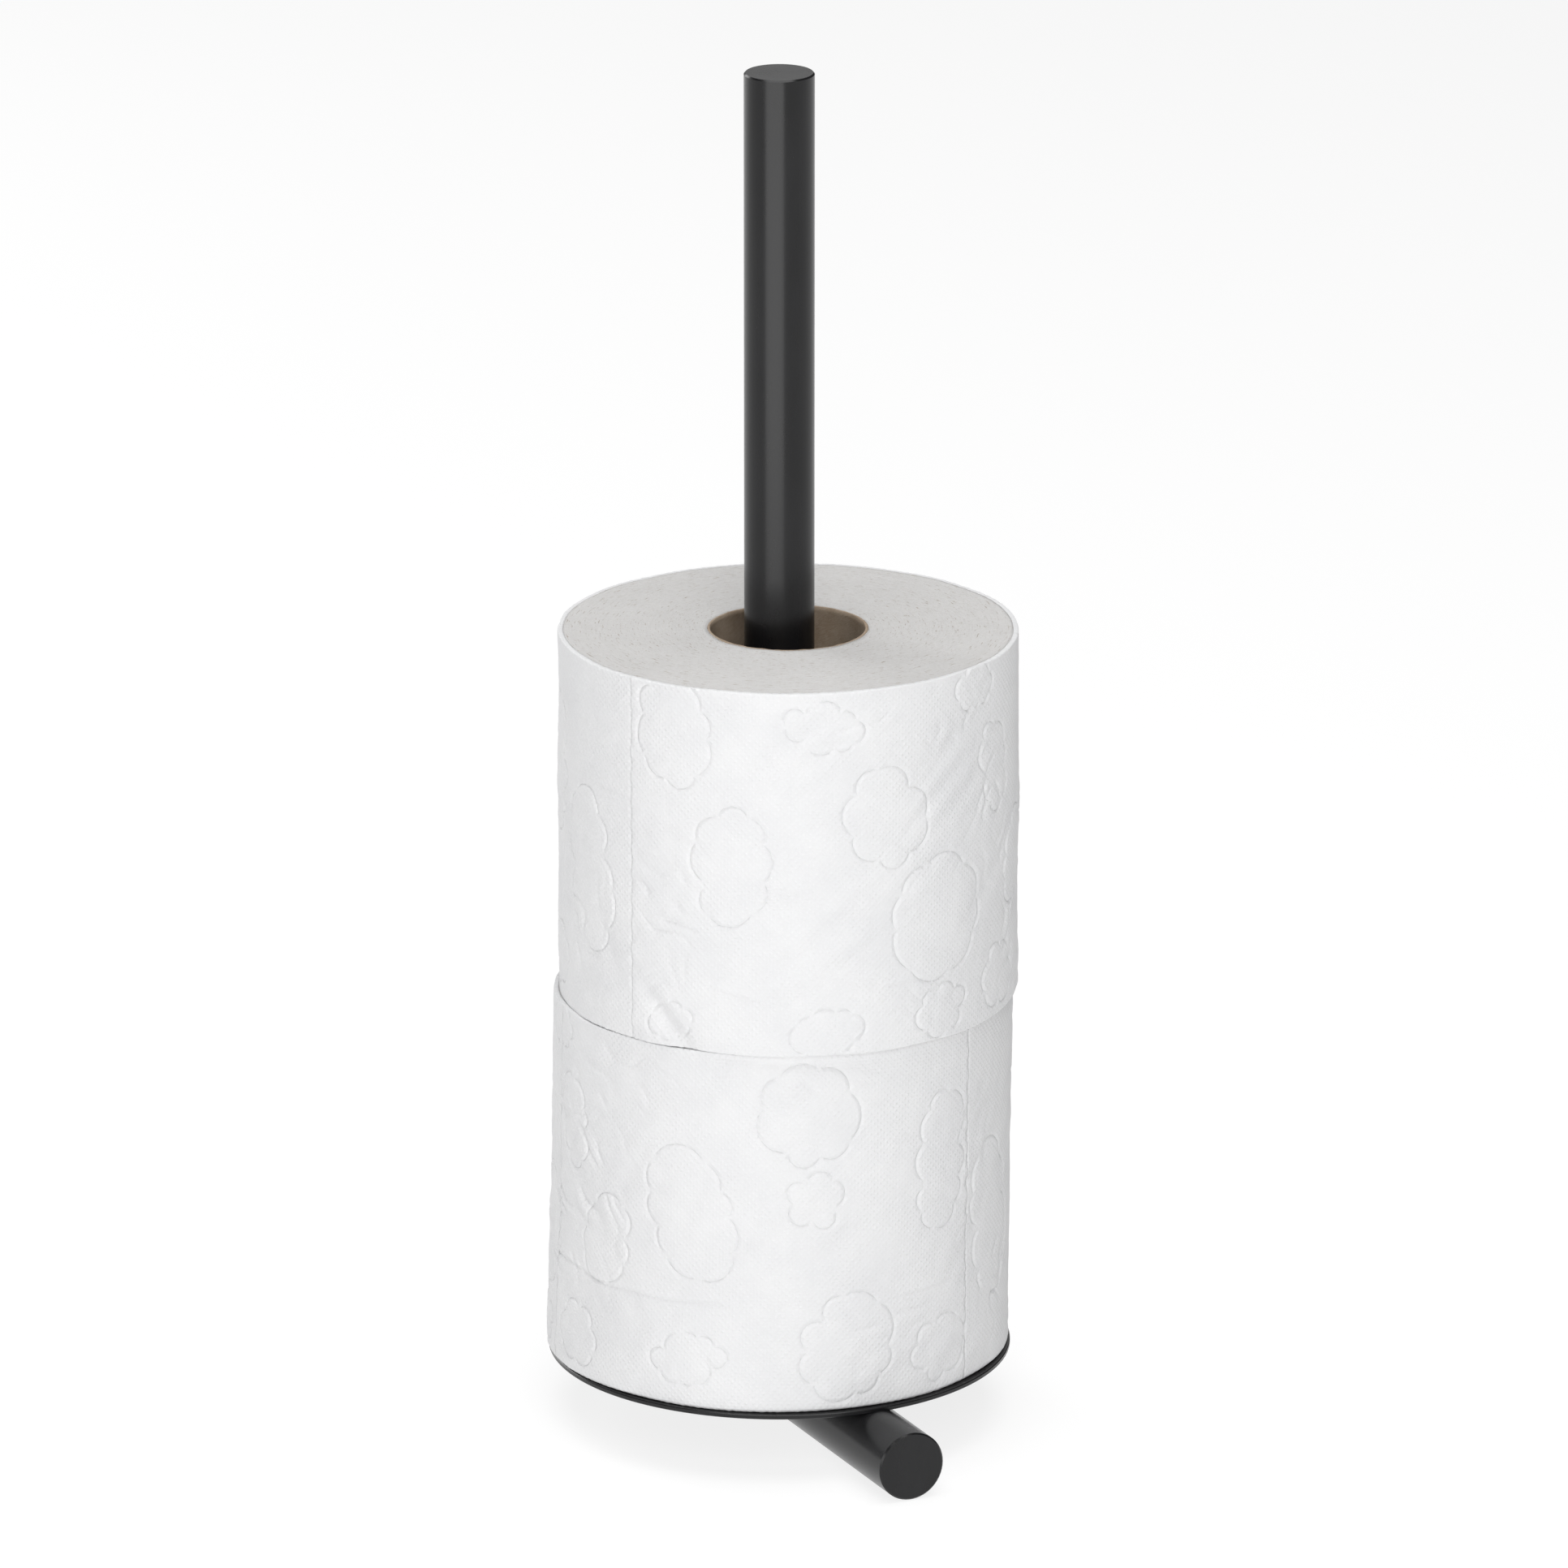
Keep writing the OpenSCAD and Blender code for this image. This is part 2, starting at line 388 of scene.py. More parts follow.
def lobes_of(motif):
    """The circles whose joined outline draws one scalloped motif."""
    _, _, wide, tall, count, tilt = motif
    rng = np.random.default_rng(int(wide * 100 + tall * 10 + count))
    stretch = max(wide, tall) / min(wide, tall) - 1
    size = LOBE_SIZE * min(wide, tall) * (1 + 0.3 * stretch)
    circles = []
    for k in range(count):
        turn = 2 * math.pi * (k + rng.uniform(-0.2, 0.2)) / count
        radius = size * rng.uniform(*LOBE_RANGE)
        x = max(wide - radius, 0.3 * wide) * math.cos(turn)
        y = (tall - radius) * math.sin(turn)
        circles.append((x * math.cos(tilt) - y * math.sin(tilt),
                        x * math.sin(tilt) + y * math.cos(tilt), radius))
    inner = BODY_SIZE * min(wide, tall)
    reach = (max(wide, tall) - min(wide, tall)) * BODY_REACH
    for step in (-1, 0, 1):
        circles.append((-step * reach * math.sin(tilt), step * reach * math.cos(tilt), inner))
    return circles


def emboss(along, z):
    """The embossing's height, outwards positive, the distance to its nearest outline, and its strength."""
    first, second = np.full(along.shape, FAR), np.full(along.shape, FAR)
    for motif in MOTIFS:
        for turn in (-1, 0, 1, 2):
            x = along - motif[0] - turn * MOTIF_ROUND
            y = z - motif[1]
            reach = max(motif[2], motif[3]) + 5
            near = (np.abs(x) < reach) & (np.abs(y) < reach)
            for centre_x, centre_y, radius in lobes_of(motif) if near.any() else ():
                gap = np.hypot(x[near] - centre_x, y[near] - centre_y) - radius
                second[near] = np.minimum(second[near], np.maximum(first[near], gap))
                first[near] = np.minimum(first[near], gap)
    # The strokes thin out where two lobes meet, so each lobe is an arc of its own.
    arc = smoothstep(0.1, 1.3, second - first)
    groove = -STROKE_DEPTH * arc * np.exp(-(first / STROKE) ** 2)
    lip = LIP * arc * np.exp(-((first + 2.2 * STROKE) / (1.3 * STROKE)) ** 2)
    return groove + lip + SWELL * smoothstep(0.0, -3.5, first), first, arc


# Heights of the wrinkles that are everywhere and of those in patches, and how much the folds wander
FINE_WRINKLES = 0.02
PATCH_WRINKLES, PATCH_SLANT = 0.12, 2.2
FOLD_BEND = 2.4


def wrinkles(roll, place, z):
    """Patches of slanting folds, and small wrinkles everywhere."""
    height = FINE_WRINKLES * ripples(roll.seed + 4, place, z, (3, 8))
    patch = smoothstep(0.1, 1.2, ripples(roll.seed + 2, place, z, (30, 70)))
    height += PATCH_WRINKLES * patch * ripples(roll.seed + 3, place, z, (5, 13), slant=PATCH_SLANT)
    bend = FOLD_BEND * ripples(roll.seed + 6, place, z, (12, 34))
    uneven = smoothstep(-0.9, 1.1, ripples(roll.seed + 8, place, z, (8, 22)))
    for at, middle, wide, tall, slant, spacing, depth in FOLDS[roll.name]:
        x, y = place - at, z - middle
        across = y * math.cos(slant) - x * math.sin(slant)
        window = np.exp(-(x / wide) ** 2 - (y / tall) ** 2)
        phase = math.pi * across / spacing + bend / 2
        valleys = np.exp(-(np.sin(phase) / 0.34) ** 2)
        height -= depth * window * uneven * (2.4 * valleys + 1.1 * np.cos(2 * phase))
    return height


def creases(roll, place, z):
    """Thin folds that run round the roll."""
    height = np.zeros(place.shape)
    for at, first, last, depth, slope in CREASES[roll.name]:
        wander = 0.5 * np.sin(place / 9 + at) + 0.25 * np.sin(place / 3.7)
        off = z - at - slope * (place - first) - wander
        here = smoothstep(first - 4, first + 6, place) * (1 - smoothstep(last - 12, last + 4, place))
        ridge, valley = np.exp(-((off - 0.9) / 0.8) ** 2), np.exp(-(off / 0.45) ** 2)
        height += here * depth * (ridge - 1.5 * valley)
    return height


# A perforation's cuts: their pitch, and the dip's depth at the ties and how much more at the cuts
CUT_PITCH = 6.5
TIE_DEPTH, CUT_DEPTH, CUT_WIDTH = 0.05, 0.2, 0.42


def perforation(from_edge, z):
    """The dip along a perforation, held up at the ties between its cuts."""
    cut = 0.5 + 0.5 * np.tanh(3 * np.sin(2 * math.pi * z / CUT_PITCH) + 0.6)
    return -(TIE_DEPTH + CUT_DEPTH * cut) * np.exp(-(from_edge / CUT_WIDTH) ** 2)


# ---------------------------------------------------------------- pieces of a roll

# Rows of a sheet's mesh over each long edge, and up its inner face
RIM_ROWS = 6
BACK_ROWS = 24
# How far in from the roll's surface its relief fades out, and its tissue gives way to cut ends
RELIEF_RIM = 0.3
TISSUE_RIM = 0.01
# The loose end stands off the roll: how far, and over what length it lies down again
LIFT, LIFT_LENGTH = 0.5, 5.0
# The wound body's mesh: round it, across each end face, and up its hidden wall
WINDING_COLUMNS = 440
FACE_RINGS = 46
WALL_ROWS = 24
LEAST_GAP = 0.03
# How far single layers, and groups of them, stand out of the end faces
LAYER_BANDS, LAYER_GROUPS = 0.025, 0.06


def outer_sheet(roll, number, first, last):
    """One perforated sheet of the outer turns, as a closed shell with its relief on the outside."""
    columns = int((last - first) / GRID) + 1
    wall_rows = int(roll.height / GRID)
    place = np.linspace(first, last, columns)
    angle = place / roll.mean_radius
    out = roll.spiral(place) + LIFT * np.exp(-(place - roll.tail) / LIFT_LENGTH)
    rim = SHEET_DEPTH * np.linspace(1, 0, RIM_ROWS, endpoint=False)[:, None] ** 2
    foot, top = roll.end_height(angle, rim, False), roll.end_height(angle, rim, True)
    low, high = roll.end_height(angle, 0.0, False), roll.end_height(angle, 0.0, True)
    wall = low + (high - low) * np.linspace(0, 1, wall_rows)[:, None]
    z = np.clip(np.concatenate([foot, wall, top[::-1]]), LEAST_GAP, roll.height - LEAST_GAP)
    inset = np.concatenate([rim, np.zeros((wall_rows, 1)), rim[::-1]])
    along = np.broadcast_to(place, z.shape)
    embossed, outline, arc = emboss(along + roll.motif_start, z)
    relief = embossed + wrinkles(roll, along, z) + creases(roll, along, z)
    relief += perforation(along - first, z) + perforation(last - along, z)
    relief *= 1 - smoothstep(0, RELIEF_RIM, inset)
    radius = roll.surface(angle, z) - inset + out + relief
    outside = roll.place(angle, radius, z)
    back_z = z[0] + (z[-1] - z[0]) * np.linspace(0, 1, BACK_ROWS + 2)[1:-1, None]
    back_step = roll.height / BACK_ROWS
    back_radius = roll.least_surface(angle, back_z, 0.0, back_step) - SHEET_DEPTH + out
    inside = roll.place(angle, back_radius, back_z)
    return closed_sheet(f"{roll.name}_sheet_{number}", outside, inside, back_z, {
        "along": along, "z": z, "radius": radius, "inset": inset, "outline": outline, "arc": arc,
        "back_radius": back_radius})


def closed_sheet(name, outside, inside, back_z, grids):
    """Joins a sheet's outside and inside grids along their four edges."""
    along, z = grids["along"], grids["z"]
    rows, columns = z.shape
    back = len(back_z)
    start = rows * columns
    column = np.arange(columns)
    last_out, last_in = (rows - 1) * columns, start + (back - 1) * columns
    foot = np.stack([column[:-1] + start, column[:-1], column[1:], column[1:] + start], -1)
    top = np.stack([column[1:] + last_in, column[1:] + last_out,
                    column[:-1] + last_out, column[:-1] + last_in], -1)
    outer = grid_quads(columns, rows)
    quads = np.concatenate([outer, grid_quads(columns, back, start, flip=True), foot[:, ::-1], top[:, ::-1]])
    loop = np.concatenate([np.arange(rows) * columns, start + (np.arange(back) * columns)[::-1]])
    cut_end = np.repeat(np.ravel(grids["inset"][:-1] + grids["inset"][1:]) > 2 * TISSUE_RIM, columns - 1)
    slots = np.zeros(len(quads), int)
    slots[:len(outer)] = cut_end
    back_along = np.broadcast_to(along[0], back_z.shape)
    web = [np.stack([along.ravel(), z.ravel()], -1), np.stack([back_along.ravel(), back_z.ravel()], -1)]
    turns = [np.stack([along.ravel(), grids["radius"].ravel()], -1),
             np.stack([back_along.ravel(), grids["back_radius"].ravel()], -1)]
    unmarked = np.zeros(back * columns)
    return new_mesh(name, np.concatenate([outside, inside]), quads,
                    {"web": np.concatenate(web), "layers": np.concatenate(turns)},
                    caps=[loop[::-1], loop + columns - 1], slots=slots,
                    values={"outline": np.concatenate([grids["outline"].ravel(), unmarked + FAR]),
                            "arc": np.concatenate([grids["arc"].ravel(), unmarked])})


def layers(roll, angle, radius, top):
    """How far the wound layers stand out of an end face."""
    spiral = radius + TURN_STEP * angle / (2 * math.pi)
    seed = roll.seed + 30 + top
    arc = angle * roll.core_radius
    bands = ripples(seed, spiral, 0 * arc, (1.8, 5))
    patches = 0.5 + 0.5 * round_ripples(seed + 1, angle, (1, 6))
    groups = ripples(seed + 2, spiral, 0 * arc, (14, 40))
    return LAYER_BANDS * bands * patches + LAYER_GROUPS * groups


def wound_body(roll):
    """All turns under the outer one, as one closed ring with its layers standing out on both ends."""
    angle = np.linspace(-math.pi, math.pi, WINDING_COLUMNS, endpoint=False)
    angle_step = 2 * math.pi / WINDING_COLUMNS
    share = np.linspace(0, 1, FACE_RINGS)[:, None] ** 0.9
    inner = roll.core_radius + CORE_GAP
    # The step under the loose end comes one column after it, where the first sheet covers it.
    from_tail = (angle - angle_step) * roll.mean_radius - roll.tail
    under = SHEET_DEPTH + LEAST_GAP - roll.spiral(roll.tail + from_tail % roll.turn)
    faces = {}
    for top in (False, True):
        outer = roll.surface(angle, roll.height if top else 0.0)
        radius = inner + share * (outer - under - inner)
        z = roll.end_height(angle, outer - radius, top)
        z = z + layers(roll, angle, radius, top) * smoothstep(0, 0.06, share) * smoothstep(1, 0.94, share)
        faces[top] = radius, np.clip(z, LEAST_GAP, roll.height - LEAST_GAP)
    low_radius, low_z = faces[False]
    high_radius, high_z = faces[True]
    steps = np.linspace(0, 1, WALL_ROWS + 2)[1:-1, None]
    wall_z = low_z[-1] + (high_z[-1] - low_z[-1]) * steps
    wall_radius = roll.least_surface(angle, wall_z, angle_step, roll.height / WALL_ROWS) - under
    radius = np.concatenate([low_radius, wall_radius, high_radius[::-1]])
    z = np.concatenate([low_z, wall_z, high_z[::-1]])
    points = roll.place(angle, radius, z)
    rows = len(radius)
    column = np.arange(WINDING_COLUMNS)
    after = (column + 1) % WINDING_COLUMNS
    last = (rows - 1) * WINDING_COLUMNS
    bore = np.stack([last + column, last + after, after, column], -1)
    quads = np.concatenate([grid_quads(WINDING_COLUMNS, rows, wrap=True), bore])
    turns = np.stack([np.broadcast_to(angle * roll.mean_radius, radius.shape).ravel(),
                      radius.ravel()], -1)
    return new_mesh(f"{roll.name}_winding", points, quads, {"layers": turns})


CORE_WALL = 0.7
CORE_COLUMNS = 160
CORE_ROWS = 90
# The wound seam: its rise in one turn, its height and its half width
CORE_SEAM_RISE = 68.0
CORE_SEAM_HEIGHT, CORE_SEAM_WIDTH = 0.12, 0.5
# The rims stand this far inside the core's ends, bow out and fray a little
CORE_END_GAP = 0.15
CORE_RIM_BOW = 0.12
CORE_FRAY = 0.05


def board_core(roll):
    """The cardboard core: a tube wound from a slanting strip, with its seam and slightly swollen rims."""
    low, high = (np.array(corner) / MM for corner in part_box(roll.name + "_core"))
    outer = (high[0] - low[0]) / 2 - CORE_GAP
    wall = CORE_WALL - 2 * CORE_GAP
    angle = np.linspace(-math.pi, math.pi, CORE_COLUMNS, endpoint=False)
    height = high[2] - low[2]
    z_in = np.linspace(0, 1, CORE_ROWS)[:, None] * (height - 2 * CORE_END_GAP) + CORE_END_GAP
    helix = (z_in - CORE_SEAM_RISE * angle / (2 * math.pi)) % CORE_SEAM_RISE
    seam = np.exp(-((helix - CORE_SEAM_RISE / 2) / CORE_SEAM_WIDTH) ** 2)
    uneven = CORE_FRAY * round_ripples(roll.seed + 40, angle, (2, 5)) + 0 * z_in
    inner = outer - wall + CORE_SEAM_HEIGHT * seam + uneven
    fray = CORE_FRAY * round_ripples(roll.seed + 41, angle, (9, 40))
    rims = np.array([0.0, 0.3, 0.7, 1.0])[:, None]
    bow = np.sin(math.pi * rims)
    top_radius = inner[-1] + (outer - inner[-1]) * rims
    top_z = z_in[-1] + CORE_RIM_BOW * bow + fray * bow
    foot_radius, foot_z = top_radius[::-1], z_in[0] - CORE_RIM_BOW * bow
    radius = np.concatenate([inner, top_radius[1:], foot_radius[:-1]])
    z = np.concatenate([z_in + 0 * angle, top_z[1:] + 0 * angle, foot_z[:-1] + 0 * angle])
    x = roll.centre[0] + radius * (np.sin(angle) * TO_RIGHT[0] + np.cos(angle) * TO_CAMERA[0])
    y = roll.centre[1] + radius * (np.sin(angle) * TO_RIGHT[1] + np.cos(angle) * TO_CAMERA[1])
    points = np.stack([x, y, low[2] + z], -1).reshape(-1, 3)
    rows = len(radius)
    column = np.arange(CORE_COLUMNS)
    after = (column + 1) % CORE_COLUMNS
    last = (rows - 1) * CORE_COLUMNS
    close = np.stack([column, after, last + after, last + column], -1)
    quads = np.concatenate([grid_quads(CORE_COLUMNS, rows, wrap=True, flip=True), close])
    board = np.stack([np.broadcast_to(angle * outer, radius.shape).ravel(), z.ravel()], -1)
    return new_mesh(f"{roll.name}_board", points, quads, {"board": board})


# ---------------------------------------------------------------- materials

def new_material(name):
    """A node material with its tree and its shader."""
    material = bpy.data.materials.new(name)
    material.use_nodes = True
    return material, material.node_tree, material.node_tree.nodes["Principled BSDF"]


def add(tree, kind, values=None, **settings):
    """Adds a node. Values may be numbers or the output sockets of other nodes."""
    made = tree.nodes.new("ShaderNode" + kind)
    for key, value in settings.items():
        setattr(made, key, value)
    for key, value in (values or {}).items():
        if isinstance(value, bpy.types.NodeSocket):
            tree.links.new(value, made.inputs[key])
        else:
            made.inputs[key].default_value = value
    return made


def maths(tree, operation, *values):
    """The result of one Math node."""
    return add(tree, "Math", dict(enumerate(values)), operation=operation).outputs[0]


def scaled(tree, source, scale, turn=0.0):
    """Coordinates turned about Z, then scaled on each axis."""
    turned = add(tree, "Mapping", {"Vector": source, "Rotation": (0, 0, turn)})
    return add(tree, "Mapping", {"Vector": turned.outputs[0], "Scale": scale}).outputs[0]


def noise(tree, source, scale, detail=2.0, roughness=0.5):
    """A noise texture's grey value."""
    made = add(tree, "TexNoise", {"Vector": source, "Scale": scale, "Detail": detail,
                                  "Roughness": roughness})
    return made.outputs[0]


def blend_colours(tree, share, low, high, start=0.0, end=1.0):
    """A colour that runs from low to high as share goes from start to end."""
    ramp = add(tree, "ValToRGB", {0: share})
    ramp.color_ramp.elements[0].position = start
    ramp.color_ramp.elements[0].color = (*low, 1)
    ramp.color_ramp.elements[1].position = end
    ramp.color_ramp.elements[1].color = (*high, 1)
    return ramp.outputs[0]


def spread(tree, share, low, high):
    """A number that runs from low to high as share goes from 0.3 to 0.7, where noise lies."""
    return add(tree, "MapRange", {0: share, 1: 0.3, 2: 0.7, 3: low, 4: high}).outputs[0]


def bump(tree, height, depth, under=None):
    """A bump of the given depth in millimetres, laid over another one."""
    values = {"Height": height, "Distance": depth * MM, "Strength": 1.0}
    if under is not None:
        values["Normal"] = under
    return add(tree, "Bump", values).outputs[0]


# The tissue's fine dots, and the half width of the embossing's pressed line
DOT_PITCH = 1.27
DOT_TURN = math.radians(45)
FINE_STROKE = 0.17


def tissue_material():
    """Embossed tissue: rows of fine dots with painted shade between them, loose fibres and a faint
    cloudiness.
    """
    material, tree, shader = new_material("tissue")
    web = add(tree, "UVMap", uv_map="web").outputs[0]
    wave = 2 * math.pi / DOT_PITCH
    lattice = add(tree, "SeparateXYZ", {0: scaled(tree, web, (wave, wave, 1), DOT_TURN)})
    across = maths(tree, "COSINE", lattice.outputs[0])
    along = maths(tree, "COSINE", lattice.outputs[1])
    dots = maths(tree, "MAXIMUM", maths(tree, "MULTIPLY", maths(tree, "ADD", across, along), 0.5), 0.0)
    dots = maths(tree, "POWER", dots, 1.4)
    patchy = spread(tree, noise(tree, web, 0.09, 3), 0.45, 1.0)
    dots = maths(tree, "MULTIPLY", dots, patchy)
    # The pressed line itself is finer than the mesh, so it comes from the stored distance to it.
    outline = add(tree, "Attribute", attribute_name="outline").outputs["Fac"]
    arc = add(tree, "Attribute", attribute_name="arc").outputs["Fac"]
    spot = maths(tree, "MULTIPLY", maths(tree, "MULTIPLY", outline, outline), -1 / FINE_STROKE ** 2)
    line = maths(tree, "MULTIPLY", maths(tree, "EXPONENT", spot), arc)
    fibres = noise(tree, scaled(tree, web, (1, 2.2, 1), 0.4), 1.1, 5, 0.65)
    cloud = noise(tree, web, 0.05, 4, 0.6)
    colour = blend_colours(tree, cloud, (0.745, 0.746, 0.755), (0.785, 0.785, 0.79), 0.35, 0.65)
    # Painted shade: the colour is darkened a little between the raised dots and left full on their tops.
    painted_dot_shade = blend_colours(tree, dots, (0.975, 0.975, 0.975), (1, 1, 1), 0.0, 0.6)
    mixed = add(tree, "MixRGB", {0: 1.0, 1: colour, 2: painted_dot_shade}, blend_type="MULTIPLY").outputs[0]
    tree.links.new(mixed, shader.inputs["Base Color"])
    soft = bump(tree, fibres, 0.1)
    soft = bump(tree, line, -0.1, soft)
    tree.links.new(bump(tree, dots, 0.13, soft), shader.inputs["Normal"])
    tree.links.new(spread(tree, fibres, 0.85, 1.0), shader.inputs["Roughness"])
    shader.inputs["Specular IOR Level"].default_value = 0.15
    shader.inputs["Sheen Weight"].default_value = 0.12
    shader.inputs["Sheen Roughness"].default_value = 0.6
    return material


def wound_edge_material():
    """The cut ends of the wound paper: fine layers with fluff, and short gaps between them whose colour is
    darkened as painted shade.
    """
    material, tree, shader = new_material("wound_edge")
    turns = add(tree, "UVMap", uv_map="layers").outputs[0]
    place = add(tree, "TexCoord").outputs["Object"]
    layered = noise(tree, scaled(tree, turns, (0.05, 1.6, 1)), 1.0, 6, 0.65)
    fluff = noise(tree, place, 1100, 4, 0.65)
    broad = noise(tree, place, 70, 3)
    gaps = noise(tree, scaled(tree, turns, (0.22, 2.2, 1)), 1.0, 3, 0.6)
    tone = maths(tree, "ADD", maths(tree, "MULTIPLY", layered, 0.3), maths(tree, "MULTIPLY", fluff, 0.5))
    tone = maths(tree, "ADD", tone, maths(tree, "MULTIPLY", broad, 0.2))
    colour = blend_colours(tree, tone, (0.60, 0.59, 0.58), (0.66, 0.652, 0.645), 0.38, 0.62)
    # Painted shade: the colour darkens to a brownish grey in the gaps, which the bump also presses in.
    dark = blend_colours(tree, gaps, (1, 1, 1), (0.62, 0.55, 0.49), 0.6, 0.69)
    mixed = add(tree, "MixRGB", {0: 1.0, 1: colour, 2: dark}, blend_type="MULTIPLY").outputs[0]
    tree.links.new(mixed, shader.inputs["Base Color"])
    soft = bump(tree, layered, 0.12)
    soft = bump(tree, fluff, 0.3, soft)
    tree.links.new(bump(tree, gaps, -0.12, soft), shader.inputs["Normal"])
    tree.links.new(spread(tree, fluff, 0.88, 1.0), shader.inputs["Roughness"])
    shader.inputs["Specular IOR Level"].default_value = 0.1
    return material


def board_material():
    """Grey-brown cardboard with pressed fibres."""
    material, tree, shader = new_material("core_board")
    board = add(tree, "UVMap", uv_map="board").outputs[0]
    fibres = noise(tree, scaled(tree, board, (0.5, 2.0, 1), 0.5), 1.3, 6, 0.7)
    cloud = noise(tree, board, 0.12, 3)
    tone = maths(tree, "ADD", maths(tree, "MULTIPLY", fibres, 0.5), maths(tree, "MULTIPLY", cloud, 0.5))
    colour = blend_colours(tree, tone, (0.32, 0.24, 0.171), (0.45, 0.363, 0.278), 0.38, 0.62)
    tree.links.new(colour, shader.inputs["Base Color"])
    tree.links.new(bump(tree, fibres, 0.12), shader.inputs["Normal"])
    tree.links.new(spread(tree, fibres, 0.78, 0.95), shader.inputs["Roughness"])
    shader.inputs["Specular IOR Level"].default_value = 0.3
    return material


def black_coating_material():
    """Matt black powder coat on metal: fine orange peel, slight cloudiness and a soft gloss."""
    material, tree, shader = new_material("black_coating")
    place = add(tree, "TexCoord").outputs["Object"]
    peel = noise(tree, place, 1400, 3, 0.5)
    cloud = noise(tree, scaled(tree, place, (1, 1, 0.35)), 90, 4, 0.6)
    colour = blend_colours(tree, cloud, (0.008, 0.008, 0.0085), (0.012, 0.012, 0.013), 0.35, 0.65)
    tree.links.new(colour, shader.inputs["Base Color"])
    tree.links.new(bump(tree, peel, 0.006), shader.inputs["Normal"])
    tree.links.new(spread(tree, cloud, 0.23, 0.28), shader.inputs["Roughness"])
    shader.inputs["Specular IOR Level"].default_value = 0.33
    return material


def steel_material(name, light, dark, stretch):
    """Turned or plated steel with fine tool marks along one axis."""
    material, tree, shader = new_material(name)
    place = add(tree, "TexCoord").outputs["Object"]
    marks = noise(tree, scaled(tree, place, stretch), 900, 5, 0.6)
    stains = noise(tree, place, 160, 4)
    colour = blend_colours(tree, stains, dark, light, 0.35, 0.65)
    tree.links.new(colour, shader.inputs["Base Color"])
    tree.links.new(bump(tree, marks, 0.01), shader.inputs["Normal"])
    tree.links.new(spread(tree, marks, 0.28, 0.45), shader.inputs["Roughness"])
    shader.inputs["Metallic"].default_value = 1.0
    return material


def paint(piece, *materials):
    """Gives a piece these materials and no others."""
    piece.data.materials.clear()
    for material in materials:
        piece.data.materials.append(material)


# ---------------------------------------------------------------- floor and light

FLOOR_GAP_M = 0.0002
FLOOR_HALF_M = 9.0
# The floor is a lit tabletop: mostly its own glow, so that shadows on it stay light.
FLOOR_SHADE = 0.22
FLOOR_GLOW = 0.82
SKY = 0.05


def make_floor():
    """A plain pale floor just under the arm."""
    z = cad_low[2] - FLOOR_GAP_M
    half = FLOOR_HALF_M
    corners = [(-half, -half, z), (half, -half, z), (half, half, z), (-half, half, z)]
    mesh = bpy.data.meshes.new("floor")
    mesh.from_pydata(corners, [], [(0, 1, 2, 3)])
    floor = bpy.data.objects.new("floor", mesh)
    bpy.context.collection.objects.link(floor)
    material, tree, shader = new_material("pale_floor")
    shader.inputs["Base Color"].default_value = (FLOOR_SHADE, FLOOR_SHADE, FLOOR_SHADE, 1)
    shader.inputs["Roughness"].default_value = 1.0
    shader.inputs["Specular IOR Level"].default_value = 0.0
    shader.inputs["Emission Color"].default_value = (1, 1, 1, 1)
    shader.inputs["Emission Strength"].default_value = FLOOR_GLOW
    floor.data.materials.append(material)


# Softboxes aimed at the rolls: degrees to the right of the camera, degrees up, distance, width and
# height in metres, and watts
SOFTBOXES = {
    "key": (8, 32, 2.0, 1.0, 1.0, 14.4),
    "low_front": (-15, 2, 0.7, 0.8, 0.26, 1.65),
    "overhead": (0, 86, 1.6, 1.4, 1.4, 22.2),
    "left_rear": (-138, 18, 1.8, 0.8, 1.2, 11.5),
    "backdrop": (180, 17, 2.6, 1.0, 0.9, 1.6),
}


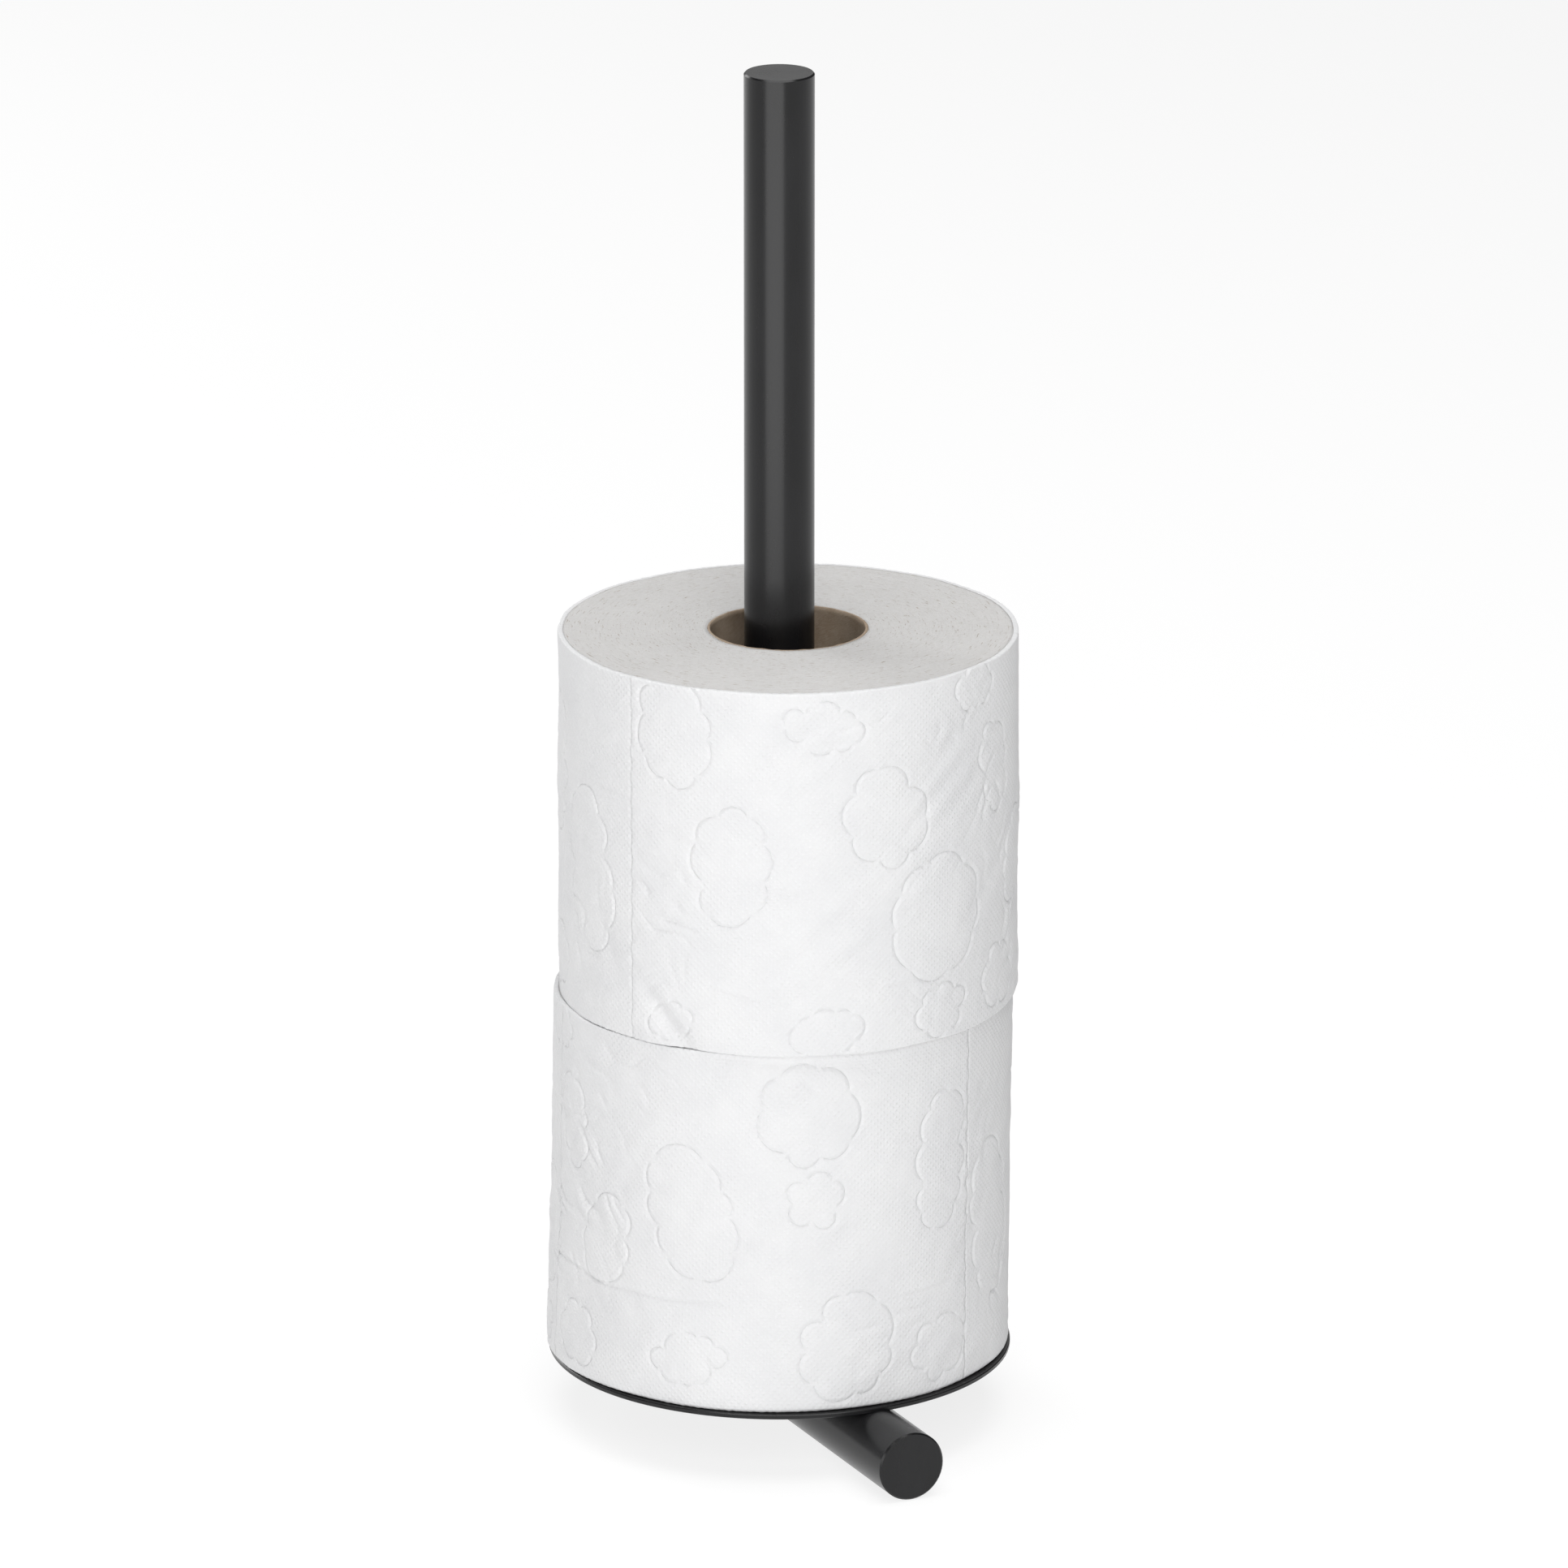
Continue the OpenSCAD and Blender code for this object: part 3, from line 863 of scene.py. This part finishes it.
def make_light():
    """A dim even sky and the softboxes."""
    world = bpy.data.worlds.new("studio")
    world.use_nodes = True
    background = world.node_tree.nodes["Background"]
    background.inputs[0].default_value = (1, 1, 1, 1)
    background.inputs[1].default_value = SKY
    bpy.context.scene.world = world
    bpy.context.scene.view_settings.view_transform = "Standard"
    _, paper_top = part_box("lower_roll_paper")
    aim = np.array([*middle_of("post_tube")[:2], paper_top[2]])
    for name, (right, up, distance, wide, tall, watts) in SOFTBOXES.items():
        right, up = math.radians(right), math.radians(up)
        level = math.cos(up) * (math.cos(right) * TO_CAMERA + math.sin(right) * TO_RIGHT)
        data = bpy.data.lights.new(name, "AREA")
        data.shape = "RECTANGLE"
        data.size, data.size_y = wide, tall
        data.energy = watts
        light = bpy.data.objects.new(name, data)
        light.location = aim + distance * np.array([*level, math.sin(up)])
        light.rotation_euler = (math.pi / 2 - up, 0.0, VIEW_AZIMUTH + right)
        # The boxes light the object from just outside the frame, and other views don't show them.
        light.visible_camera = False
        bpy.context.collection.objects.link(light)


# ---------------------------------------------------------------- the object

def dress_rolls():
    """Builds the pieces of both rolls, sets them riding on their bodies and hides the plain CAD solids."""
    tissue, edge, board = tissue_material(), wound_edge_material(), board_material()
    for roll in rolls():
        stops = [roll.tail, roll.tail + SHEET_LENGTH, roll.tail + 2 * SHEET_LENGTH, roll.tail + roll.turn]
        paper = []
        for number in range(3):
            piece = outer_sheet(roll, number + 1, stops[number], stops[number + 1] - SHEET_GAP)
            paint(piece, tissue, edge)
            paper.append(piece)
        winding = wound_body(roll)
        paint(winding, edge)
        paper.append(winding)
        for piece in paper:
            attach(piece, roll.name)
            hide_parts(roll.name + "_paper")
        core = board_core(roll)
        paint(core, board)
        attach(core, roll.name)
        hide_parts(roll.name + "_core")


def dress_metal():
    """Finishes for the CAD's own metal parts."""
    coating = black_coating_material()
    fitting = steel_material("fitting_steel", (0.62, 0.62, 0.63), (0.48, 0.48, 0.5), (1, 0.05, 1))
    fastener = steel_material("zinc_steel", (0.58, 0.59, 0.61), (0.42, 0.43, 0.45), (1, 1, 0.05))
    for name, material in {
        "arm": coating, "tray": coating, "post_tube": coating, "post_top_cap": coating,
        "post_foot": fitting, "wall_bracket": fitting,
        "clamp_screw": fastener, "spring_washer": fastener, "grub_screw": fastener,
    }.items():
        paint(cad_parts[name], material)


make_camera()
dress_rolls()
dress_metal()
make_floor()
make_light()
